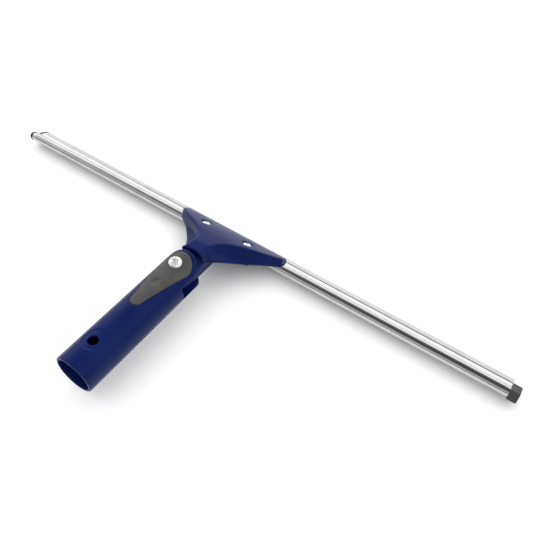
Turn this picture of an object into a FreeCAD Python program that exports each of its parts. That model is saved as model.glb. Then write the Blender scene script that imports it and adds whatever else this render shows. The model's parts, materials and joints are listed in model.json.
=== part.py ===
import FreeCAD, Part
import math
import os

V = FreeCAD.Vector

# Swivel window squeegee. Millimetres, +Z up.
# Origin: centre of the pole socket's mouth. +Y runs up the socket towards the head,
# +X along the blade, +Z along the swivel axis, out of the handle's front face.

# ---- Handle -----------------------------------------------------------------
socket_to_pivot = 98.0      # mouth of the socket to the swivel axis
tube_radius = 14.6
tube_wall = 2.0
fork_end_inset = 0.3        # the fork's round end is this much narrower than the tube
socket_depth = 66.0
mouth_round = 0.9
lock_hole_radius = 3.5      # takes the spring button of a pole
lock_hole_from_mouth = 20.7
dish_radius = 8.2           # shallow round recess about the lock hole
dish_depth = 0.6
dish_lean = 0.35            # how much the recess widens outwards, for each unit of height
dish_offset = 0.7           # the recess sits this much nearer the swivel than the hole
fork_end_round = 1.2        # the fork end's outer edge
slot_edge_round = 0.5       # the fork slot's edges

# ---- Grip inlays ------------------------------------------------------------
inlay_head_radius = 11.3    # round end, about the swivel axis
inlay_tip_radius = 4.6
inlay_length = 43.0         # swivel axis to the tip
inlay_thickness = 1.7
inlay_proud = 0.2
thumb_step_distance = 20.5  # swivel axis to the thumb hollow
thumb_step_radius = 9.0
thumb_step_depth = 0.9

# ---- Swivel -----------------------------------------------------------------
tongue_thickness = 9.0
tongue_half_width = 10.0
slot_floor_gap = 0.35
washer_radius = 8.5
washer_thickness = 0.8
running_gap = 0.05          # a side, between what turns and what stays
pivot_shank_radius = 2.5
pivot_head_radius = 4.8
pivot_head_height = 4.3
well_floor_thickness = 1.0  # what is left of the front inlay below the screw's head
bush_wall = 1.5
ear_hole_clearance = 0.1
counterbore_clearance = 0.2
spring_washer_thickness = 0.9
spring_washer_radius = 4.6
spring_washer_split = 0.8
split_slant = 20.0
pivot_nut_flats = 8.0
pivot_nut_thickness = 3.6
ear_under_nut = 3.0         # what is left of the rear ear below the nut's seat
screw_end_past_nut = 0.3

# ---- Head -------------------------------------------------------------------
head_tilt = 27.2            # blade plane below the swivel plane, degrees
side_gap = 1.8              # handle to neck at full swing
head_half_width = 49.5
head_front = 66.0           # swivel axis to the front edge, along the tilted plate
head_corner = 56.5          # swivel axis to the rear corners of the wings
neck_start = 4.0
neck_top = 10.5             # height of the neck's level top above the swivel's middle
neck_bend_round = 6.0       # rounding between the neck's top and the tilted plate's
rim_neck_distance = 12.5    # the lower outline's points between the neck and the tip
rim_neck_half_width = 9.8
rim_knee_distance = 20.5
rim_knee_half_width = 13.4
rim_sweep_distance = 42.5
rim_sweep_half_width = 30.5
waist_distance = 18.0       # the raised pad's outline between the neck and the tip
waist_half_width = 5.2
waist_foot_half_width = 9.6
pad_shoulder_distance = 26.5
pad_shoulder_half_width = 8.5
pad_shoulder_foot_half_width = 10.4
pad_sweep_distance = 42.7
pad_sweep_half_width = 28.0
pad_inset = 1.5             # pad's tip inside the rim's
crown_rear = 21.8           # height of the domed top at the waist, at the screws and in front
crown_middle = 23.0
crown_front = 19.8
pad_foot = 16.2
pad_lean_top = 24.5         # the pad's outline points hold at this height; it widens to its foot
rim_top = 12.6
underside = 11.5
wing_lift = 4.0             # how far the underside rises at the wing tips
wing_lift_start = 26.0
pad_edge_round = 1.6

# ---- Clamp ------------------------------------------------------------------
screw_spacing = 39.0
screw_distance = 51.0
screw_shank_radius = 2.0
screw_head_radius = 3.8
screw_head_height = 2.3
screw_seat = 20.5
screw_hole_clearance = 0.2
clamp_nut_flats = 7.0
clamp_nut_thickness = 2.4
jaw_half_width = 25.0
jaw_heel = 44.5
jaw_front = 66.0
jaw_bottom = 6.8
jaw_heel_length = 3.0
jaw_relief = 1.0            # gap between jaw and plate from the heel to the channel
jaw_corner = 5.5            # chamfer of the rear corners, in plan
jaw_bevel = 3.5             # bevel of the lower edges
jaw_below_middle = 1.6      # top of the jaw's front wall below the channel's middle
clamp_clearance = 0.1       # sliding fit of the channel in the clamp

# ---- Channel and blade ------------------------------------------------------
channel_length = 450.0
bulb_distance = 60.2        # swivel axis to the bead's centre, along the plate
bulb_height = 13.0
bulb_radius = 3.8
sheet = 0.7
pinch_reach = 4.3
pinch_half_height = 1.8
bend_reach = 8.6
bend_half_height = 3.1
lip_reach = 14.6
lip_half_height = 2.8
blade_reach = 18.6
blade_tip_half_thickness = 0.85
blade_root_half_thickness = 1.9

# ---- End clips --------------------------------------------------------------
stub_length = 8.0
stub_clearance = 0.1
block_length = 6.5
block_reach = 7.6
block_round = 0.8
flange_thickness = 1.0
flange_proud = 0.25
nub_radius = 3.3
nub_length = 2.6
nub_round = 1.5

slot_half_height = tongue_thickness / 2 + running_gap + washer_thickness
fork_end_radius = tube_radius - fork_end_inset
pivot_head_seat = tube_radius - inlay_thickness + well_floor_thickness
bush_radius = pivot_shank_radius + running_gap + bush_wall
counterbore_radius = pivot_head_radius + counterbore_clearance
pocket_radius = math.hypot(tube_radius + side_gap, tongue_half_width)
nut_seat = slot_half_height + ear_under_nut
far = 2 * (socket_to_pivot + head_front)


# ---- Helpers ----------------------------------------------------------------
def cylinder(radius, start, end, axis, centre=V(0, 0, 0)):
    """A round bar from start to end along an axis through centre."""
    return Part.makeCylinder(radius, end - start, centre + axis * start, axis)


def box(low, high):
    size = V(*high) - V(*low)
    return Part.makeBox(size.x, size.y, size.z, V(*low))


def polygon(points):
    corners = [V(*p) for p in points]
    return Part.makePolygon(corners + corners[:1])


def prism(wire, travel):
    return Part.Face(wire).extrude(travel)


def hexagon_bar(flats, start, end):
    radius = flats / math.sqrt(3)
    corners = [(radius * math.cos(math.radians(60 * k)),
                radius * math.sin(math.radians(60 * k)), start) for k in range(6)]
    return prism(polygon(corners), V(0, 0, end - start))


def round_edges(shape, radius, wanted):
    """Fillet every edge for which wanted(edge) is true."""
    edges = [edge for edge in shape.Edges if wanted(edge)]
    return shape.makeFillet(radius, edges)


def to_head(shape):
    """From the tilted head frame (x across, y along the plate, z off it) to the part."""
    placed = shape.copy()
    placed.rotate(V(0, 0, 0), V(1, 0, 0), -head_tilt)
    placed.translate(V(0, socket_to_pivot, 0))
    return placed


def to_pivot(shape):
    placed = shape.copy()
    placed.translate(V(0, socket_to_pivot, 0))
    return placed


def mirrored(shape, normal):
    return shape.mirror(V(0, 0, 0), normal)


def domed_screw(head_radius, head_height, seat, shank_radius, shank_end):
    """A screw along +Z whose domed head, with a cross recess, sits at seat."""
    rim = 0.35 * head_height
    dome_height = head_height - rim
    ball_radius = (head_radius ** 2 + dome_height ** 2) / (2 * dome_height)
    ball = Part.makeSphere(ball_radius, V(0, 0, seat + head_height - ball_radius))
    head = cylinder(head_radius, seat, seat + head_height, V(0, 0, 1)).common(ball)
    shank = cylinder(shank_radius, shank_end, seat, V(0, 0, 1))
    shank = round_edges(shank, 0.2 * shank_radius, lambda e: abs(e.BoundBox.ZMax - shank_end) < 1e-6)
    wing = 0.55 * head_radius
    slot = 0.11 * head_radius
    floor = seat + 0.45 * head_height
    top = seat + head_height + 1
    cross = box((-wing, -slot, floor), (wing, slot, top)).fuse(box((-slot, -wing, floor), (slot, wing, top)))
    return head.fuse(shank).cut(cross).removeSplitter()


def nut(flats, thickness, low, bore_radius):
    """A hexagon nut with its corners chamfered, from z = low up."""
    corner = flats / math.sqrt(3)
    blank = cylinder(corner, low, low + thickness, V(0, 0, 1))
    rims = [edge for edge in blank.Edges if edge.BoundBox.ZLength < 0.01]
    blank = blank.makeChamfer(corner - flats / 2, rims)
    body = blank.common(hexagon_bar(flats, low, low + thickness))
    return body.cut(cylinder(bore_radius, low - 1, low + thickness + 1, V(0, 0, 1)))


# ---- Handle -----------------------------------------------------------------
def leaf(radius_gain, height):
    """The inlay's outline as a tall prism: a big and a small circle joined by tangents."""
    big = inlay_head_radius + radius_gain
    small = inlay_tip_radius + radius_gain
    span = inlay_length - inlay_tip_radius
    lean = math.asin((big - small) / span)
    side = math.cos(lean)
    rise = math.sin(lean)
    big_right = V(big * side, -big * rise, 0)
    small_right = V(small * side, -span - small * rise, 0)
    big_left = V(-big_right.x, big_right.y, 0)
    small_left = V(-small_right.x, small_right.y, 0)
    edges = [
        Part.Arc(big_right, V(0, big, 0), big_left).toShape(),
        Part.makeLine(big_left, small_left),
        Part.Arc(small_left, V(0, -span - small, 0), small_right).toShape(),
        Part.makeLine(small_right, big_right),
    ]
    return prism(Part.Wire(edges), V(0, 0, height))


def tube_skin():
    """The handle's outside: a tube whose fork end is rounded about the swivel axis."""
    tube = cylinder(tube_radius, 0, far, V(0, 1, 0))
    straight = box((-far, -1, -far), (far, socket_to_pivot, far))
    turned = cylinder(fork_end_radius, -far, far, V(0, 0, 1), V(0, socket_to_pivot, 0))
    return tube.common(straight.fuse(turned))


def inlay_bed():
    """What the front inlay's recess takes out of the handle."""
    core = cylinder(tube_radius - inlay_thickness, -1, far, V(0, 1, 0))
    return to_pivot(leaf(0, far)).cut(core)


def grip_inlay(well_floor):
    """The front inlay: a leaf cut from a thin shell, with a screw well and a thumb hollow."""
    outer = cylinder(tube_radius + inlay_proud, -1, far, V(0, 1, 0))
    inlay = inlay_bed().common(outer)
    inlay = inlay.cut(to_pivot(cylinder(counterbore_radius, well_floor, far, V(0, 0, 1))))
    inlay = inlay.cut(to_pivot(cylinder(pivot_shank_radius + ear_hole_clearance, 0, far, V(0, 0, 1))))
    thumb_height = tube_radius + inlay_proud - thumb_step_depth + thumb_step_radius
    hollow = Part.makeSphere(thumb_step_radius, V(0, socket_to_pivot - thumb_step_distance, thumb_height))
    return inlay.cut(hollow)


def is_fork_end(edge):
    """The curve where the tube meets the rounded end, on either ear."""
    bounds = edge.BoundBox
    return bounds.YMin > socket_to_pivot and bounds.ZLength > 1


def is_slot_edge(edge):
    """The slot's long edges and its curved ones, on either ear's inner face."""
    bounds = edge.BoundBox
    on_face = abs(abs(bounds.Center.z) - slot_half_height) < 0.01 and bounds.ZLength < 0.01
    return on_face and bounds.YLength > 1


def handle_body():
    body = tube_skin()
    body = round_edges(body, mouth_round, lambda e: e.BoundBox.YMax < 1e-6)
    body = body.cut(cylinder(tube_radius - tube_wall, -1, socket_depth, V(0, 1, 0)))
    slot_floor = socket_to_pivot - tongue_half_width - slot_floor_gap
    slot = box((-far, slot_floor, -slot_half_height), (far, far, slot_half_height))
    body = body.cut(slot)
    body = round_edges(body, fork_end_round, is_fork_end)
    body = round_edges(body, slot_edge_round, is_slot_edge)
    body = body.cut(inlay_bed())
    body = body.cut(mirrored(inlay_bed(), V(0, 0, 1)))
    body = body.cut(to_pivot(cylinder(pivot_shank_radius + ear_hole_clearance, -far, far, V(0, 0, 1))))
    body = body.cut(to_pivot(cylinder(counterbore_radius, -far, -nut_seat, V(0, 0, 1))))
    hole_centre = V(0, lock_hole_from_mouth, 0)
    body = body.cut(cylinder(lock_hole_radius, 0, far, V(0, 0, 1), hole_centre))
    return body.cut(thumb_dish())


def thumb_dish():
    """A shallow round recess that follows the tube, with leaning sides."""
    foot = dish_radius - dish_lean * tube_radius
    middle = V(0, lock_hole_from_mouth + dish_offset, 0)
    lean = Part.makeCone(foot, dish_radius, tube_radius, middle, V(0, 0, 1))
    return lean.cut(cylinder(tube_radius - dish_depth, 0, far, V(0, 1, 0)))


# ---- Swivel hardware --------------------------------------------------------
def pivot_screw():
    nut_end = nut_seat + spring_washer_thickness + pivot_nut_thickness
    return to_pivot(domed_screw(pivot_head_radius, pivot_head_height, pivot_head_seat,
                                pivot_shank_radius, -nut_end - screw_end_past_nut))


def spring_washer():
    """A flat ring, cut through on a slant."""
    ring = cylinder(spring_washer_radius, -nut_seat - spring_washer_thickness, -nut_seat, V(0, 0, 1))
    ring = ring.cut(cylinder(pivot_shank_radius + ear_hole_clearance, -far, far, V(0, 0, 1)))
    split = box((0, -spring_washer_split / 2, -far), (far, spring_washer_split / 2, far))
    split.rotate(V(0, 0, -nut_seat - spring_washer_thickness / 2), V(1, 0, 0), split_slant)
    return to_pivot(ring.cut(split))


def pivot_nut():
    low = -nut_seat - spring_washer_thickness - pivot_nut_thickness
    return to_pivot(nut(pivot_nut_flats, pivot_nut_thickness, low, pivot_shank_radius))


def friction_washer(side):
    inner = side * (tongue_thickness / 2 + running_gap)
    outer = side * slot_half_height
    low, high = min(inner, outer), max(inner, outer)
    ring = cylinder(washer_radius, low, high, V(0, 0, 1))
    return to_pivot(ring.cut(cylinder(pivot_shank_radius + ear_hole_clearance, -far, far, V(0, 0, 1))))


def pivot_bush():
    half = tongue_thickness / 2
    sleeve = cylinder(bush_radius, -half, half, V(0, 0, 1))
    return to_pivot(sleeve.cut(cylinder(pivot_shank_radius + running_gap, -far, far, V(0, 0, 1))))


# ---- Channel section --------------------------------------------------------
def channel_outline():
    """The closed outer outline of the folded sheet, in the head's (plate, off) plane."""
    pinch_distance = math.hypot(pinch_reach, pinch_half_height)
    touch = math.atan2(pinch_half_height, pinch_reach) + math.acos(bulb_radius / pinch_distance)
    upper = [
        (bulb_radius * math.cos(touch), bulb_radius * math.sin(touch)),
        (pinch_reach, pinch_half_height),
        (bend_reach, bend_half_height),
        (lip_reach, lip_half_height),
    ]
    lower = [(reach, -height) for reach, height in reversed(upper)]
    path = [V(0, bulb_distance + reach, bulb_height + height) for reach, height in upper + lower]
    edges = [Part.makeLine(a, b) for a, b in zip(path, path[1:])]
    back = V(0, bulb_distance - bulb_radius, bulb_height)
    edges.append(Part.Arc(path[-1], back, path[0]).toShape())
    return Part.Wire(edges)


def swept(wire, start, end):
    """Extrude a section along the blade from start to end."""
    placed = wire.copy()
    placed.translate(V(start, 0, 0))
    return prism(placed, V(end - start, 0, 0))


def channel():
    half = channel_length / 2
    outer = channel_outline()
    solid = swept(outer, -half, half)
    hollow = swept(outer.makeOffset2D(-sheet, 2), -half - 1, half + 1)
    lip = bulb_distance + lip_reach
    mouth_half = lip_half_height - sheet
    mouth = box((-half - 1, lip - 2 * sheet, bulb_height - mouth_half),
                (half + 1, lip + 1, bulb_height + mouth_half))
    return to_head(solid.cut(hollow).cut(mouth))


def rubber_blade():
    """The rubber fills the channel and stands out of its mouth as a tapering blade."""
    half = channel_length / 2
    core = swept(channel_outline().makeOffset2D(-sheet, 2), -half, half)
    root = bulb_distance + lip_reach - 2 * sheet
    tip = bulb_distance + blade_reach
    section = polygon([
        (0, root, bulb_height - blade_root_half_thickness),
        (0, tip, bulb_height - blade_tip_half_thickness),
        (0, tip, bulb_height + blade_tip_half_thickness),
        (0, root, bulb_height + blade_root_half_thickness),
    ])
    blade = core.fuse(swept(section, -half, half)).removeSplitter()
    for side in (-1, 1):
        inner = side * (half - stub_length)
        outer = side * (half + 1)
        low, high = min(inner, outer), max(inner, outer)
        reach = bulb_distance + bulb_radius
        blade = blade.cut(box((low, 0, bulb_height - bulb_radius), (high, reach, bulb_height + bulb_radius)))
    return to_head(blade)


def clip_stub(side):
    """The plug of an end clip, which fills the bead's place in the channel's end."""
    half = channel_length / 2
    radius = bulb_radius - sheet - stub_clearance
    inner = side * (half - stub_length)
    outer = side * half
    low, high = min(inner, outer), max(inner, outer)
    return cylinder(radius, low, high, V(1, 0, 0), V(0, bulb_distance, bulb_height))


def end_clip_right():
    half = channel_length / 2
    low = (half, bulb_distance - bulb_radius, bulb_height - bulb_radius)
    high = (half + block_length, bulb_distance + block_reach, bulb_height + bulb_radius)
    block = round_edges(box(low, high), block_round, lambda e: e.BoundBox.XMax > half + 0.01)
    return to_head(block.fuse(clip_stub(1)).removeSplitter())


def end_clip_left():
    half = channel_length / 2
    flange = swept(channel_outline().makeOffset2D(flange_proud, 2), -half - flange_thickness, -half)
    start = -half - flange_thickness - nub_length
    nub = cylinder(nub_radius, start, -half, V(1, 0, 0), V(0, bulb_distance, bulb_height))
    nub = round_edges(nub, nub_round, lambda e: e.BoundBox.XMax < start + 0.01)
    return to_head(flange.fuse([nub, clip_stub(-1)]).removeSplitter())


# ---- Head -------------------------------------------------------------------
def spline(points):
    curve = Part.BSplineCurve()
    curve.interpolate([V(*p) for p in points])
    return curve.toShape()


def wing_outline(flank, height, half_width):
    """A closed plan outline at one height from its right-hand flank's points."""
    right = [(x, y, height) for x, y in flank]
    left = [(-x, y, height) for x, y in reversed(flank)]
    start_right, end_right = right[0], right[-1]
    edges = [
        spline(right),
        Part.makeLine(V(*end_right), V(half_width, head_front, height)),
        Part.makeLine(V(half_width, head_front, height), V(-half_width, head_front, height)),
        Part.makeLine(V(-half_width, head_front, height), V(*left[0])),
        spline(left),
        Part.makeLine(V(*left[-1]), V(*start_right)),
    ]
    return Part.Wire(edges)


def rim_flank():
    """The lower outline of the wings, from the neck out to the tip."""
    return [
        (tongue_half_width, neck_start),
        (rim_neck_half_width, rim_neck_distance),
        (rim_knee_half_width, rim_knee_distance),
        (rim_sweep_half_width, rim_sweep_distance),
        (head_half_width, head_corner),
    ]


def pad_flank(neck, waist, shoulder):
    """The pad's outline: from the neck it sweeps out along the wings."""
    return [
        (neck, neck_start),
        (waist, waist_distance),
        (shoulder, pad_shoulder_distance),
        (pad_sweep_half_width, pad_sweep_distance),
        (head_half_width - pad_inset, head_corner + pad_inset),
    ]


def crown():
    """Everything below the plate's domed top: a big cylinder across the head."""
    arc = Part.Circle(V(0, waist_distance, crown_rear), V(0, screw_distance, crown_middle),
                      V(0, head_front, crown_front))
    return cylinder(arc.Radius, -far, far, V(1, 0, 0), arc.Center)


def clamp_space(grow):
    """The channel's room in the clamp, grown by grow."""
    return swept(channel_outline().makeOffset2D(grow, 2), -far, far)


def neck_ceiling():
    """Everything below the neck's level top, in the tilted frame."""
    level = box((-far, -far, -far), (far, far, neck_top))
    level.rotate(V(0, 0, 0), V(1, 0, 0), head_tilt)
    return level


def head_pad():
    """The raised pad: leaning sides, a domed top, and a level top over the neck."""
    pad_tip = head_half_width - pad_inset
    foot_flank = pad_flank(tongue_half_width, waist_foot_half_width, pad_shoulder_foot_half_width)
    top_flank = pad_flank(waist_half_width, waist_half_width, pad_shoulder_half_width)
    foot = wing_outline(foot_flank, pad_foot, pad_tip)
    pad = Part.makeLoft([foot, wing_outline(top_flank, pad_lean_top, pad_tip)], True, True)
    pad = pad.common(crown()).common(neck_ceiling()).removeSplitter()
    bend = [edge for edge in pad.Edges if is_bend(edge)]
    pad = pad.makeFillet(neck_bend_round, bend)
    pad = round_edges(pad, pad_edge_round, is_pad_rim)
    return foot, pad


def is_bend(edge):
    """The line across the neck where its level top meets the dome."""
    bounds = edge.BoundBox
    across = bounds.YLength < 1 and bounds.YMax < head_corner
    return bounds.ZMin > pad_foot + 1 and across and bounds.XLength > waist_half_width


def is_pad_rim(edge):
    """An edge of the pad's top, but not one across the neck."""
    bounds = edge.BoundBox
    across = bounds.YLength < 1 and bounds.YMax < head_corner
    upright = bounds.XLength < 1 and bounds.YLength < 1
    return bounds.ZMax > pad_foot + 1 and not across and not upright


def head_plate():
    """The winged plate in the tilted frame: the pad on a wider, sloping rim."""
    foot, pad = head_pad()
    rim = Part.makeLoft([wing_outline(rim_flank(), rim_top, head_half_width), foot], True, True)
    skirt = prism(wing_outline(rim_flank(), underside, head_half_width), V(0, 0, rim_top - underside))
    plate = rim.fuse([skirt, pad])
    for side in (-1, 1):
        wedge = polygon([
            (side * wing_lift_start, 0, 0),
            (side * wing_lift_start, 0, underside),
            (side * head_half_width, 0, underside + wing_lift),
            (side * far, 0, underside + wing_lift),
            (side * far, 0, 0),
        ])
        plate = plate.cut(prism(wedge, V(0, far, 0)))
    return plate


def screw_places():
    return [(-screw_spacing / 2, "left"), (screw_spacing / 2, "right")]


def head_body():
    plate = head_plate().cut(clamp_space(clamp_clearance))
    plate = plate.cut(box((-far, bulb_distance, 0), (far, far, bulb_height)))
    for place, _ in screw_places():
        centre = V(place, screw_distance, 0)
        hole = cylinder(screw_shank_radius + screw_hole_clearance, 0, far, V(0, 0, 1), centre)
        sink = cylinder(screw_head_radius + screw_hole_clearance, screw_seat, far, V(0, 0, 1), centre)
        plate = plate.cut(hole.fuse(sink))
    body = to_head(plate)
    pocket = cylinder(pocket_radius, -far, far, V(0, 0, 1), V(0, socket_to_pivot, 0))
    behind = box((-far, -far, -far), (far, socket_to_pivot, far))
    body = body.cut(pocket).cut(behind)
    body = body.fuse(tongue()).removeSplitter()
    return body.cut(to_pivot(cylinder(bush_radius, -far, far, V(0, 0, 1))))


def tongue():
    """The flat bar that turns in the fork and runs out until the plate swallows it."""
    half = tongue_thickness / 2
    tilt = math.radians(head_tilt)
    length = (underside + half * math.cos(tilt)) / math.sin(tilt)
    bar = box((-tongue_half_width, 0, -half), (tongue_half_width, length, half))
    bar = bar.fuse(cylinder(tongue_half_width, -half, half, V(0, 0, 1))).removeSplitter()
    under_rim = to_head(box((-far, -far, -far), (far, far, rim_top)))
    in_fork = cylinder(pocket_radius, -far, far, V(0, 0, 1), V(0, socket_to_pivot, 0))
    return to_pivot(bar).common(under_rim.fuse(in_fork))


def jaw_section():
    """The jaw from the side: heel on the plate, relief, groove wall, bevelled bottom."""
    heel_end = jaw_heel + jaw_heel_length
    groove = bulb_distance - bulb_radius
    return polygon([
        (0, jaw_heel, underside),
        (0, heel_end, underside),
        (0, heel_end, underside - jaw_relief),
        (0, groove, underside - jaw_relief),
        (0, groove, bulb_height - jaw_below_middle),
        (0, jaw_front, bulb_height - jaw_below_middle),
        (0, jaw_front, jaw_bottom + jaw_bevel),
        (0, jaw_front - jaw_bevel, jaw_bottom),
        (0, jaw_heel + jaw_bevel, jaw_bottom),
        (0, jaw_heel, jaw_bottom + jaw_bevel),
    ])


def clamp_jaw():
    """The lower jaw: its heel bears on the plate and its nose holds the channel from below."""
    jaw = swept(jaw_section(), -jaw_half_width, jaw_half_width)
    for side in (-1, 1):
        corner = polygon([
            (side * jaw_half_width, jaw_heel, 0),
            (side * (jaw_half_width - jaw_corner), jaw_heel, 0),
            (side * jaw_half_width, jaw_heel + jaw_corner, 0),
        ])
        jaw = jaw.cut(prism(corner, V(0, 0, underside)))
    jaw = jaw.cut(clamp_space(clamp_clearance))
    for place, _ in screw_places():
        centre = V(place, screw_distance, 0)
        hole = cylinder(screw_shank_radius + screw_hole_clearance, 0, far, V(0, 0, 1), centre)
        trap = hexagon_bar(clamp_nut_flats, 0, jaw_bottom + clamp_nut_thickness)
        trap.translate(centre)
        jaw = jaw.cut(hole.fuse(trap))
    return to_head(jaw)


def clamp_screw(place):
    screw = domed_screw(screw_head_radius, screw_head_height, screw_seat, screw_shank_radius, jaw_bottom)
    screw.translate(V(place, screw_distance, 0))
    return to_head(screw)


def clamp_nut(place):
    shape = nut(clamp_nut_flats, clamp_nut_thickness, jaw_bottom, screw_shank_radius)
    shape.translate(V(place, screw_distance, 0))
    return to_head(shape)


# ---- Export -----------------------------------------------------------------
nodes = {
    "handle_body": handle_body(),
    "front_grip_inlay": grip_inlay(pivot_head_seat),
    "rear_grip_inlay": mirrored(grip_inlay(0), V(0, 0, 1)),
    "pivot_screw": pivot_screw(),
    "pivot_nut": pivot_nut(),
    "spring_washer": spring_washer(),
    "front_friction_washer": friction_washer(1),
    "rear_friction_washer": friction_washer(-1),
    "pivot_bush": pivot_bush(),
    "head_body": head_body(),
    "clamp_jaw": clamp_jaw(),
    "channel": channel(),
    "rubber_blade": rubber_blade(),
    "end_clip_left": end_clip_left(),
    "end_clip_right": end_clip_right(),
}
for place, name in screw_places():
    nodes["clamp_screw_" + name] = clamp_screw(place)
    nodes["clamp_nut_" + name] = clamp_nut(place)

os.makedirs("parts", exist_ok=True)
for name, shape in nodes.items():
    shape.exportStep("parts/" + name + ".step")
    print(name, len(shape.Solids), round(shape.Volume, 1), shape.isValid())
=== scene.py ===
# %% [markdown]
# # A swivel window squeegee
# The real tool is a hollow plastic handle, a swivelling plastic head that clamps a long folded
# steel channel, and a rubber blade in the channel. Its sizes and joints come with the packed
# model, so this lesson only makes the looks: soft moulded edges, rolled steel, screws, light.

# %% Load the frame
import json
import math
import bmesh
import bpy
from mathutils import Matrix, Vector


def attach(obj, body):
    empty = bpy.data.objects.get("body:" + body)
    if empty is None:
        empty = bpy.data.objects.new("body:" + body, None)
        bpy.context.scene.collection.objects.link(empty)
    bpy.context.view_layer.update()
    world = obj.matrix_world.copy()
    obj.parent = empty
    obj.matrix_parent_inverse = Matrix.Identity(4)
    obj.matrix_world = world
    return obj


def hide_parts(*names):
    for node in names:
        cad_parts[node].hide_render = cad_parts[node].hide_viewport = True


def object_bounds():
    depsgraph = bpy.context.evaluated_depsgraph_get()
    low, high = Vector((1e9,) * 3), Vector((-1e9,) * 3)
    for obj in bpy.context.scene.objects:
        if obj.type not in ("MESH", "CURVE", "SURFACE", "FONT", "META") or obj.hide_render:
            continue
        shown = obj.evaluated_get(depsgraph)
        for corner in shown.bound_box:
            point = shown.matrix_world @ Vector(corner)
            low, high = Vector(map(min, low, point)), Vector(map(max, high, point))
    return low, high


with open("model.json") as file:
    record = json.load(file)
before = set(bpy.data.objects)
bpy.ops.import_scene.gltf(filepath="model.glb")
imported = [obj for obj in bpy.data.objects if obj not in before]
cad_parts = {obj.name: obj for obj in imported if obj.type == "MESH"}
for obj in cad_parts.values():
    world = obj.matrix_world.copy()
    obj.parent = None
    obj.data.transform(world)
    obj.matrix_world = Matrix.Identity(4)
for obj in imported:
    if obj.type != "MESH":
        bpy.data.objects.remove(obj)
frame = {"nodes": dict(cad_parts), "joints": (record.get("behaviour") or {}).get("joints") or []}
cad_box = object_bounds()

nodes = frame["nodes"]
joint = {j["name"]: j for j in frame["joints"]}
pivot = Vector(joint["head_swivel"]["pos_m"])
print("nodes", len(nodes), "swivel axis at", tuple(pivot))

# %% [markdown]
# ## The camera
# The tool lies flat and is seen from about fifty degrees above, from its right and from behind
# the handle. A camera needs a place and three directions: its own right, its own up, and the
# way back from what it sees. Written out as a matrix, they leave nothing to guess.

# %% Camera
camera_place = Vector((0.20619, -0.08655, 0.32562))
camera_right = Vector((0.81661, 0.57710, 0.00964))
camera_up = Vector((-0.44537, 0.61941, 0.64651))
camera_back = camera_right.cross(camera_up)
camera_data = bpy.data.cameras.new("camera")
camera_data.lens = 40.0
camera_data.sensor_width = 36.0
camera_data.clip_start = 0.01
camera = bpy.data.objects.new("camera", camera_data)
camera.matrix_world = Matrix.Translation(camera_place) @ Matrix(
    (camera_right, camera_up, camera_back)).transposed().to_4x4()
bpy.context.scene.collection.objects.link(camera)
bpy.context.scene.camera = camera
print("camera", round(camera_place.length, 3), "m from the origin")

# %% [markdown]
# ## Building materials
# Every finish here is a Principled shader with a little noise behind its colour, its roughness
# and its bump. A small class keeps each recipe readable: it makes the shader, and hands out
# noise in metres, so a grain of a third of a millimetre is asked for as such.


# %% A shader with noise to hand
class Finish:
    """One Principled material and the nodes that feed it."""

    def __init__(self, name, **constants):
        self.material = bpy.data.materials.new(name)
        self.material.use_nodes = True
        self.tree = self.material.node_tree
        self.shader = self.tree.nodes["Principled BSDF"]
        self.place = self.tree.nodes.new("ShaderNodeTexCoord").outputs["Object"]
        for socket, value in constants.items():
            self.shader.inputs[socket.replace("_", " ")].default_value = value

    def node(self, kind, **inputs):
        made = self.tree.nodes.new(kind)
        for socket, value in inputs.items():
            name = socket.replace("_", " ")
            if isinstance(value, bpy.types.NodeSocket):
                self.tree.links.new(value, made.inputs[name])
            else:
                made.inputs[name].default_value = value
        return made

    def noise(self, size, stretch=(1, 1, 1), detail=2.0):
        """Noise with blobs of about that size in metres, drawn out along an axis by stretch."""
        scaled = self.node("ShaderNodeMapping", Vector=self.place,
                           Scale=tuple(1 / (size * s) for s in stretch))
        return self.node("ShaderNodeTexNoise", Vector=scaled.outputs[0], Scale=1.0,
                         Detail=detail).outputs["Fac"]

    def spread(self, value, low, high, start=0.3, end=0.7):
        """Maps a noise value from start..end onto low..high."""
        ranged = self.node("ShaderNodeMapRange", Value=value, From_Min=start, From_Max=end,
                           To_Min=low, To_Max=high)
        return ranged.outputs["Result"]

    def mix(self, factor, first, second):
        mixed = self.tree.nodes.new("ShaderNodeMix")
        mixed.data_type = "RGBA"
        for socket, value in (("Factor_Float", factor), ("A_Color", first), ("B_Color", second)):
            target = next(s for s in mixed.inputs if s.identifier == socket)
            if isinstance(value, bpy.types.NodeSocket):
                self.tree.links.new(value, target)
            else:
                target.default_value = value
        return next(s for s in mixed.outputs if s.identifier == "Result_Color")

    def edges(self, radius):
        """0 on flat surface, towards 1 at a sharp edge, from normals rounded over radius."""
        rounded = self.node("ShaderNodeBevel", Radius=radius)
        geometry = self.tree.nodes.new("ShaderNodeNewGeometry")
        product = self.tree.nodes.new("ShaderNodeVectorMath")
        product.operation = "DOT_PRODUCT"
        self.tree.links.new(rounded.outputs[0], product.inputs[0])
        self.tree.links.new(geometry.outputs["Normal"], product.inputs[1])
        return self.spread(product.outputs["Value"], 1.0, 0.0, start=0.8, end=0.97)

    def bump(self, height, distance, strength=1.0, soften=0.0):
        """Bump from a height; soften rounds sharp edges by that radius in the shading."""
        bumped = self.node("ShaderNodeBump", Height=height, Distance=distance, Strength=strength)
        if soften:
            rounded = self.node("ShaderNodeBevel", Radius=soften)
            self.tree.links.new(rounded.outputs[0], bumped.inputs["Normal"])
        self.link(bumped.outputs[0], "Normal")

    def link(self, value, socket):
        self.tree.links.new(value, self.shader.inputs[socket])


# %% [markdown]
# ## Moulded blue plastic
# The handle, head and jaw are one deep navy plastic, satin rather than shiny. A fine moulding
# grain breaks the highlight up, broad clouds vary the tone a little, and the colour pales
# where hands and buckets rub the edges.

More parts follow.
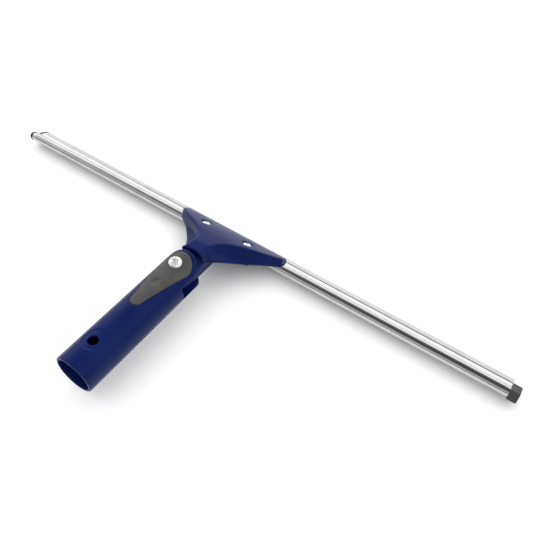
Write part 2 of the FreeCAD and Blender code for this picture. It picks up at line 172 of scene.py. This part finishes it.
# %% Blue plastic
blue = Finish("blue_plastic", Specular_IOR_Level=0.2, Specular_Tint=(0.5, 0.68, 1.0, 1))
clouds = blue.noise(0.02, detail=3.0)
grain = blue.noise(0.00035, detail=2.0)
navy = blue.mix(blue.spread(clouds, 0.0, 1.0), (0.0018, 0.0054, 0.060, 1), (0.0026, 0.0076, 0.076, 1))
rubbed = blue.mix(blue.edges(0.0008), navy, (0.010, 0.020, 0.15, 1))
blue.link(rubbed, "Base Color")
blue.link(blue.spread(clouds, 0.34, 0.42), "Roughness")
blue.bump(grain, 0.00002, 0.5, soften=0.0003)
print("blue plastic nodes", len(blue.tree.nodes))

# %% [markdown]
# ## The other plastics
# The grip inlay is a softer, greyer compound with a matt, slightly pebbled skin. The block at
# one end of the channel is charcoal, the nub at the other end almost black navy. The bush is
# natural white, and the friction washers are brown pressed fibre.


# %% Matt plastics
def matt_plastic(name, dark, light, rough, grain_size, grain_depth):
    """A matt moulded plastic: two close tones, pebbled bump, paler edges."""
    made = Finish(name, Specular_IOR_Level=0.4)
    tone = made.spread(made.noise(0.006, detail=4.0), 0.0, 1.0)
    worn = tuple(min(1.0, c * 1.7) for c in light[:3]) + (1.0,)
    body = made.mix(tone, dark, light)
    made.link(made.mix(made.edges(0.0005), body, worn), "Base Color")
    made.link(made.spread(made.noise(0.003), rough - 0.06, rough + 0.06), "Roughness")
    made.bump(made.noise(grain_size, detail=3.0), grain_depth, 0.7, soften=0.00025)
    return made.material


grey_grip = matt_plastic("grey_grip", (0.040, 0.039, 0.038, 1), (0.058, 0.056, 0.055, 1),
                         rough=0.5, grain_size=0.0005, grain_depth=0.00004)
charcoal = matt_plastic("charcoal_plastic", (0.030, 0.028, 0.031, 1), (0.044, 0.041, 0.045, 1),
                        rough=0.5, grain_size=0.0004, grain_depth=0.00003)
dark_navy = matt_plastic("navy_plastic", (0.010, 0.014, 0.050, 1), (0.014, 0.020, 0.070, 1),
                         rough=0.42, grain_size=0.0004, grain_depth=0.00002)
white_bush = matt_plastic("bush_plastic", (0.62, 0.60, 0.55, 1), (0.70, 0.68, 0.63, 1),
                          rough=0.4, grain_size=0.0004, grain_depth=0.00002)
fibre = matt_plastic("friction_washer", (0.09, 0.065, 0.04, 1), (0.14, 0.10, 0.065, 1),
                     rough=0.75, grain_size=0.0003, grain_depth=0.00006)
print("matt plastics made: 5")

# %% [markdown]
# ## Polished steel, plated steel and rubber
# The channel is roll-formed from thin stainless sheet. Rolling leaves faint lines along its
# whole length, so its noise is stretched a thousandfold that way, for roughness and bump. The
# screws are bright plated and the nuts duller zinc. The screws' plating scatters some light,
# so it isn't fully metallic here. The blade is smooth black rubber.


# %% Metals and rubber
def metal(name, colour, rough, size, stretch, depth, metallic=1.0):
    """A metal: fine lines or grain in roughness and bump, and faint duller stains."""
    made = Finish(name, Metallic=metallic)
    lines = made.noise(size, stretch, detail=3.0)
    stain = made.noise(0.015, detail=4.0)
    dull = tuple(c * 0.86 for c in colour[:3]) + (1.0,)
    made.link(made.mix(made.spread(stain, 0.0, 1.0, 0.35, 0.75), colour, dull), "Base Color")
    made.link(made.spread(lines, rough * 0.75, rough * 1.35), "Roughness")
    made.bump(lines, depth, 0.6, soften=0.00015)
    return made.material


rolled_steel = metal("polished_channel", (0.58, 0.58, 0.59, 1), 0.12, 0.0004, (900, 1, 1), 0.000004)
bright_steel = metal("bright_screw", (0.97, 0.97, 0.96, 1), 0.22, 0.0006, (1, 1, 1), 0.000006, 0.6)
zinc_steel = metal("zinc_steel", (0.58, 0.58, 0.55, 1), 0.34, 0.0003, (1, 1, 1), 0.00001)

rubber = Finish("blade_rubber", Specular_IOR_Level=0.35)
bloom = rubber.noise(0.01, (4, 1, 1), detail=4.0)
rubber.link(rubber.mix(rubber.spread(bloom, 0.0, 1.0), (0.011, 0.011, 0.011, 1), (0.022, 0.021, 0.020, 1)),
            "Base Color")
rubber.link(rubber.spread(bloom, 0.48, 0.62), "Roughness")
rubber.bump(rubber.noise(0.0006, (6, 1, 1)), 0.00001, 0.5, soften=0.0002)
print("metals made: 3, rubber made: 1")

# %% [markdown]
# ## Moulded skins
# A moulding has no razor edges: every corner is rounded by the mould and every inside corner
# is filled a little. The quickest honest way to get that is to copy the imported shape, rebuild
# it as an even net of small squares, and relax the net for a few passes. Corners soften by
# about a square, and the sizes stay.


# %% Skin maker
def finished(piece, material, body, slot, *replaced):
    """Paints a piece, ties it to the body and hides the nodes that it stands for. The slot is not used."""
    piece.data.materials.clear()
    piece.data.materials.append(material)
    if replaced:
        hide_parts(*replaced)
    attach(piece, body)
    print(piece.name, len(piece.data.vertices), "points")
    return piece


def new_piece(name, mesh):
    """Puts a mesh in the scene as a piece of that name."""
    piece = bpy.data.objects.new(name, mesh)
    bpy.context.scene.collection.objects.link(piece)
    return piece


def moulded_skin(name, node, square, passes):
    """A soft-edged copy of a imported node: a voxel net of that square, relaxed passes times."""
    piece = new_piece(name, nodes[node].data.copy())
    net = piece.modifiers.new("net", "REMESH")
    net.mode = "VOXEL"
    net.voxel_size = square
    net.use_smooth_shade = True
    relax = piece.modifiers.new("relax", "SMOOTH")
    relax.factor = 0.5
    relax.iterations = passes
    graph = bpy.context.evaluated_depsgraph_get()
    mesh = bpy.data.meshes.new_from_object(piece.evaluated_get(graph))
    piece.modifiers.clear()
    piece.data = mesh
    mesh.name = name
    return piece


# %% [markdown]
# ## Handle, head and jaw
# These three show the most plastic. The head and jaw get a finer net than the handle, for
# their small screw pockets, and the head is relaxed longest, since its facets run together.

# %% Blue mouldings
handle = moulded_skin("handle_moulding", "handle_body", 0.00055, 6)
finished(handle, blue.material, "handle", "blue_plastic", "handle_body")
head = moulded_skin("head_moulding", "head_body", 0.0005, 14)
finished(head, blue.material, "head", "blue_plastic", "head_body")
jaw = moulded_skin("jaw_moulding", "clamp_jaw", 0.0005, 5)
finished(jaw, blue.material, "head", "blue_plastic", "clamp_jaw")

# %% [markdown]
# ## Grip inlays and end clips
# The inlays are thin leaves let into the handle, one on each face, with a hollow for the
# thumb. The end clips stop the rubber from creeping out of the channel.

# %% Inlays and clips
for side in ("front", "rear"):
    inlay = moulded_skin(side + "_inlay", side + "_grip_inlay", 0.0003, 3)
    finished(inlay, grey_grip, "handle", "grey_grip", side + "_grip_inlay")
block = moulded_skin("block_clip", "end_clip_right", 0.00025, 4)
finished(block, charcoal, "channel_bar", "charcoal_plastic", "end_clip_right")
nub = moulded_skin("nub_clip", "end_clip_left", 0.00022, 4)
finished(nub, dark_navy, "channel_bar", "navy_plastic", "end_clip_left")

# %% [markdown]
# ## The folded channel
# One strip of sheet makes it: a round back that holds the rubber's bead, a pinch that grips
# the neck of the rubber, and two flat lips. Folds in sheet are never sharp, so the section is
# written as corners with a radius each, given a thickness, and swept along the blade. A box
# of corners would show hard stripes; the rounded folds give the long soft bands of real steel.
# A small pressed step, where each lip begins, draws the one crisp dark line along the top.


# %% Channel section
head_tilt = math.radians(27.2)
along_plate = Vector((0.0, math.cos(head_tilt), -math.sin(head_tilt)))
off_plate = Vector((0.0, math.sin(head_tilt), math.cos(head_tilt)))
millimetre = 0.001


def in_head(across, along, off):
    """A point in the tilted head's own directions, in millimetres, as a place in metres."""
    return pivot + (Vector((across, 0, 0)) + along_plate * along + off_plate * off) * millimetre


def rounded_path(corners, steps=7):
    """Points along straight runs, with an arc of the given radius at each (x, y, radius)."""
    path = [Vector(corners[0][:2])]
    for before, corner, after in zip(corners, corners[1:], corners[2:]):
        here = Vector(corner[:2])
        back = (Vector(before[:2]) - here).normalized()
        ahead = (Vector(after[:2]) - here).normalized()
        half = math.acos(max(-1.0, min(1.0, back.dot(ahead)))) / 2
        centre = here + (back + ahead).normalized() * corner[2] / math.sin(half)
        first = here + back * corner[2] / math.tan(half) - centre
        last = here + ahead * corner[2] / math.tan(half) - centre
        for step in range(steps + 1):
            spoke = first.lerp(last, step / steps).normalized() * corner[2]
            path.append(centre + spoke)
    path.append(Vector(corners[-1][:2]))
    return path


def shifted(path, distance):
    """The same path moved to its left by that distance."""
    moved = []
    for i, point in enumerate(path):
        run = (path[min(i + 1, len(path) - 1)] - path[max(i - 1, 0)]).normalized()
        moved.append(point + Vector((-run.y, run.x)) * distance)
    return moved


bead_radius, sheet = 3.8, 0.7
pinch, bend, lip = (4.3, 1.8, 1.0), (8.6, 3.1, 2.6), (14.6, 2.8)  # along, off, radius
step_foot, step_top = (7.95, 2.58, 0.25), (8.5, 3.04, 0.3)
reach = math.hypot(pinch[0], pinch[1])
touch = math.atan2(pinch[1], pinch[0]) + math.acos(bead_radius / reach)
arc_steps = 40
bead = [Vector((math.cos(a), math.sin(a))) * bead_radius for a in
        (touch + (2 * math.pi - 2 * touch) * i / arc_steps for i in range(arc_steps + 1))]


def whole_way_round(half):
    """Joins the upper half to the bead and to its own mirror image below."""
    return half[::-1] + bead[1:-1] + [Vector((point.x, -point.y)) for point in half]


outside = whole_way_round(rounded_path([tuple(bead[0]), pinch, step_foot, step_top, lip]))
inside = shifted(whole_way_round(rounded_path([tuple(bead[0]), pinch, bend, lip])), sheet)
section = outside + inside[::-1]
print("channel section", len(section), "points")

# %% [markdown]
# The strip is sheared to length and deburred, so each end is drawn in by a tenth of a
# millimetre. A very small wander along the length keeps the reflections from being ruled lines.


# %% Channel
def closed_surface(name, loops):
    """A solid's mesh through loops of equally many points, with a cap at each end."""
    builder = bmesh.new()
    rings = [[builder.verts.new(point) for point in loop] for loop in loops]
    for first, second in zip(rings, rings[1:]):
        for i in range(len(first)):
            j = (i + 1) % len(first)
            builder.faces.new((first[i], first[j], second[j], second[i]))
    builder.faces.new(rings[0][::-1])
    builder.faces.new(rings[-1])
    bmesh.ops.recalc_face_normals(builder, faces=builder.faces)
    mesh = bpy.data.meshes.new(name)
    builder.to_mesh(mesh)
    builder.free()
    return mesh


def crisp_above(mesh, degrees):
    """Smooth shading, except across edges sharper than that angle."""
    mesh.shade_smooth()
    mesh.set_sharp_from_angle(angle=math.radians(degrees))


def strip_at(across, shrink, lift):
    """The channel's section at one place along the blade, shrunk to its middle and lifted."""
    middle = sum(section, Vector((0, 0))) / len(section)
    return [in_head(across,
                    bead_distance + point.x + (middle.x - point.x) * shrink,
                    bead_height + point.y + (middle.y - point.y) * shrink + lift)
            for point in section]


bead_distance, bead_height, half_length = 60.2, 13.0, 225.0
runs = 90
end_shrink, deburr_length = 0.012, 0.15
wander, wander_length = 0.012, 31.0
stations = []
for i in range(runs + 1):
    across = -half_length + 2 * half_length * i / runs
    shrink = end_shrink if i in (0, runs) else 0.0
    stations.append((across, shrink, wander * math.sin(across / wander_length)))
stations.insert(1, (-half_length + deburr_length, 0.0, stations[1][2]))
stations.insert(-1, (half_length - deburr_length, 0.0, stations[-2][2]))
channel_mesh = closed_surface("folded_channel", [strip_at(*station) for station in stations])
crisp_above(channel_mesh, 35)
channel = new_piece("folded_channel", channel_mesh)
finished(channel, rolled_steel, "channel_bar", "polished_channel", "channel")

# %% [markdown]
# ## Screws
# All three are domed machine screws with a cross recess. The head is a profile turned about
# the axis, the thread is the same grid with its radius rising and falling along a helix, and
# the recess is cut with two crossed, tapering blades.


# %% Screw shapes
thread_rows_a_turn = 8
thread_depth = 0.54         # share of the pitch
rim_share = 0.16            # share of the head's height that is a straight rim
seat_round = 0.1
dome_rows = 24
around = 64


def thread_rows(seat, shank_radius, end, pitch):
    """(height, radius at a turn) pairs up the shank, fading out over a pitch at both ends."""
    count = int((seat - end) / (pitch / thread_rows_a_turn))
    depth = thread_depth * pitch
    rows = []
    for i in range(count + 1):
        height = end + (seat - end) * i / count
        fade = min(1.0, (height - end) / pitch, (seat - height) / pitch)

        def radius(turn, height=height, fade=fade):
            phase = (height / pitch - turn / (2 * math.pi)) % 1.0
            return shank_radius - depth * (1.0 - fade * (1.0 - abs(2 * phase - 1.0)))

        rows.append((height, radius))
    return rows


def head_rows(seat, head_radius, head_height):
    """(height, radius at a turn) pairs for the underside, the rim and the dome."""
    rim = rim_share * head_height
    profile = [(seat, head_radius - seat_round), (seat + 0.12, head_radius), (seat + rim, head_radius)]
    for i in range(1, dome_rows + 1):
        lean = math.pi / 2 * i / (dome_rows + 0.3)
        profile.append((seat + rim + (head_height - rim) * math.sin(lean), head_radius * math.cos(lean)))
    return [(height, lambda turn, radius=radius: radius) for height, radius in profile]


def cross_blades(name, top, wide, thin, deep):
    """Two crossed blades that taper downwards, turned a little off square."""
    cutter = bmesh.new()
    for quarter in (0.0, math.pi / 2):
        corners = bmesh.ops.create_cube(cutter, size=1.0)["verts"]
        for corner in corners:
            low = corner.co.z < 0
            corner.co.x *= 2 * wide * (0.45 if low else 1.15)
            corner.co.y *= 2 * thin * (0.7 if low else 1.1)
            corner.co.z = top - deep if low else top + 0.5
        bmesh.ops.rotate(cutter, verts=corners, matrix=Matrix.Rotation(quarter + 0.4, 3, "Z"))
    mesh = bpy.data.meshes.new(name)
    cutter.to_mesh(mesh)
    cutter.free()
    return new_piece(name, mesh)


# %% Screw maker
def screw(name, head_radius, head_height, seat, shank_radius, end, pitch):
    """A domed cross-head screw along z, seat and end given as heights, all in millimetres."""
    rows = thread_rows(seat, shank_radius, end, pitch) + head_rows(seat, head_radius, head_height)
    turns = [2 * math.pi * i / around for i in range(around)]
    loops = [[(radius(turn) * math.cos(turn), radius(turn) * math.sin(turn), height) for turn in turns]
             for height, radius in rows]
    piece = new_piece(name, closed_surface(name, loops))
    blades = cross_blades(name + "_cutter", seat + head_height,
                          wide=0.60 * head_radius, thin=0.15 * head_radius, deep=0.7 * head_height)
    cut = piece.modifiers.new("recess", "BOOLEAN")
    cut.operation = "DIFFERENCE"
    cut.solver = "EXACT"
    cut.use_self = True
    cut.object = blades
    graph = bpy.context.evaluated_depsgraph_get()
    with_recess = bpy.data.meshes.new_from_object(piece.evaluated_get(graph))
    piece.modifiers.clear()
    piece.data = with_recess
    bpy.data.objects.remove(blades)
    crisp_above(with_recess, 38)
    return piece


def placed(piece, origin, tilt):
    """Moves a mesh made in millimetres about z to its place in metres, leaning by tilt."""
    piece.data.transform(Matrix.Translation(origin) @ Matrix.Rotation(-tilt, 4, "X")
                         @ Matrix.Scale(millimetre, 4))
    return piece


# %% Screws
clamp_screw_across, clamp_screw_along = 19.5, 51.0
pivot_bolt = screw("pivot_bolt", head_radius=4.8, head_height=4.3, seat=13.9,
                   shank_radius=2.5, end=-13.15, pitch=0.8)
finished(placed(pivot_bolt, pivot, 0.0), bright_steel, "handle", "bright_screw", "pivot_screw")
for side, across in (("left", -clamp_screw_across), ("right", clamp_screw_across)):
    clamp_bolt = screw(side + "_clamp_bolt", head_radius=3.8, head_height=2.3, seat=20.5,
                       shank_radius=2.0, end=6.8, pitch=0.7)
    placed(clamp_bolt, in_head(across, clamp_screw_along, 0.0), head_tilt)
    finished(clamp_bolt, bright_steel, "head", "bright_screw", "clamp_screw_" + side)

# %% [markdown]
# ## Simple parts kept as packed
# Nuts, washers, the bush and the rubber are plain turned, stamped or drawn shapes. Their packed
# meshes are right as they are, so they only get a finish and smooth shading with crisp edges.


# %% Kept parts
def keep(node, material):
    """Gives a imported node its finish, and crisp edges on smooth shading."""
    nodes[node].data.materials.clear()
    nodes[node].data.materials.append(material)
    crisp_above(nodes[node].data, 35)


for node in ("pivot_nut", "spring_washer", "clamp_nut_left", "clamp_nut_right"):
    keep(node, zinc_steel)
for node in ("front_friction_washer", "rear_friction_washer"):
    keep(node, fibre)
keep("pivot_bush", white_bush)
keep("rubber_blade", rubber.material)
print("kept parts painted")

# %% [markdown]
# ## Floor and light
# A pale floor, a weak fill on the right, and a sky with one broad bright band, low and beyond
# the tool, fading overhead and to the front. Polished steel shows mostly its surroundings, so
# the band draws its white stripes and the dim rest its grey ones. The big light above lights
# the floor and the plastic but is kept out of reflections, or it would bleach the navy.
# The plain view transform keeps the navy as deep as its material says.

# %% Floor
floor_gap, floor_radius = 0.0003, 3.0
floor_height = cad_box[0][2] - floor_gap
floor_mesh = bpy.data.meshes.new("floor")
floor_builder = bmesh.new()
bmesh.ops.create_circle(floor_builder, cap_ends=True, radius=floor_radius, segments=96)
floor_builder.to_mesh(floor_mesh)
floor_builder.free()
floor = new_piece("floor", floor_mesh)
floor.location = (0.0, 0.1, floor_height)
floor_finish = Finish("pale_floor", Specular_IOR_Level=0.2, Roughness=0.7)
floor_tone = floor_finish.spread(floor_finish.noise(0.4), 0.0, 1.0)
floor_white = floor_finish.mix(floor_tone, (0.88, 0.88, 0.88, 1), (0.90, 0.90, 0.90, 1))
floor_finish.link(floor_white, "Base Color")
floor_mesh.materials.append(floor_finish.material)
print("floor at", round(floor_height, 4))


# %% Lights
def softbox(name, place, target, width, length, power):
    """A rectangular lamp at a place, in metres, facing the target."""
    light = bpy.data.lights.new(name, "AREA")
    light.shape = "RECTANGLE"
    light.size = width
    light.size_y = length
    light.energy = power
    lamp = bpy.data.objects.new(name, light)
    lamp.location = place
    lamp.rotation_euler = (Vector(place) - Vector(target)).to_track_quat("Z", "Y").to_euler()
    bpy.context.scene.collection.objects.link(lamp)
    return lamp


middle = Vector((0.0, 0.1, 0.0))
softbox("fill", (1.1, -0.1, 0.6), middle, 0.4, 0.8, 0.6)
over = softbox("over", (0.0, 0.1, 1.6), middle, 3.6, 3.6, 56.0)
over.visible_glossy = False
print("lamps set")

# %% Sky
bright_side = (-0.38, 0.92, 0.0)
world = bpy.data.worlds.new("studio")
bpy.context.scene.world = world
world.use_nodes = True
sky = world.node_tree
direction = sky.nodes.new("ShaderNodeTexCoord").outputs["Generated"]
split = sky.nodes.new("ShaderNodeSeparateXYZ")
sky.links.new(direction, split.inputs[0])
facing = sky.nodes.new("ShaderNodeVectorMath")
facing.operation = "DOT_PRODUCT"
facing.inputs[1].default_value = bright_side
sky.links.new(direction, facing.inputs[0])


def sky_range(value, start, end, low, high):
    """Maps start..end of a value onto low..high."""
    ranged = sky.nodes.new("ShaderNodeMapRange")
    for socket, number in (("From Min", start), ("From Max", end), ("To Min", low), ("To Max", high)):
        ranged.inputs[socket].default_value = number
    sky.links.new(value, ranged.inputs["Value"])
    return ranged.outputs["Result"]


towards = sky_range(facing.outputs["Value"], -0.2, 0.5, 0.38, 1.0)
band = sky.nodes.new("ShaderNodeValToRGB")
sky.links.new(split.outputs["Z"], band.inputs[0])
# sine of the height above the horizon, and the glow there
heights = ((0.0, 0.13), (0.10, 0.24), (0.26, 1.7), (0.62, 1.7), (0.80, 0.40), (1.0, 0.18))
while len(band.color_ramp.elements) < len(heights):
    band.color_ramp.elements.new(0.5)
for element, (height, glow) in zip(band.color_ramp.elements, heights):
    element.position = height
    element.color = (glow, glow, glow, 1)
upwards = band.outputs["Color"]
product = sky.nodes.new("ShaderNodeMath")
product.operation = "MULTIPLY"
sky.links.new(towards, product.inputs[0])
sky.links.new(upwards, product.inputs[1])
sky.links.new(product.outputs[0], sky.nodes["Background"].inputs["Strength"])
sky.nodes["Background"].inputs["Color"].default_value = (1.0, 1.0, 1.0, 1.0)
bpy.context.scene.view_settings.view_transform = "Standard"
print("sky set")
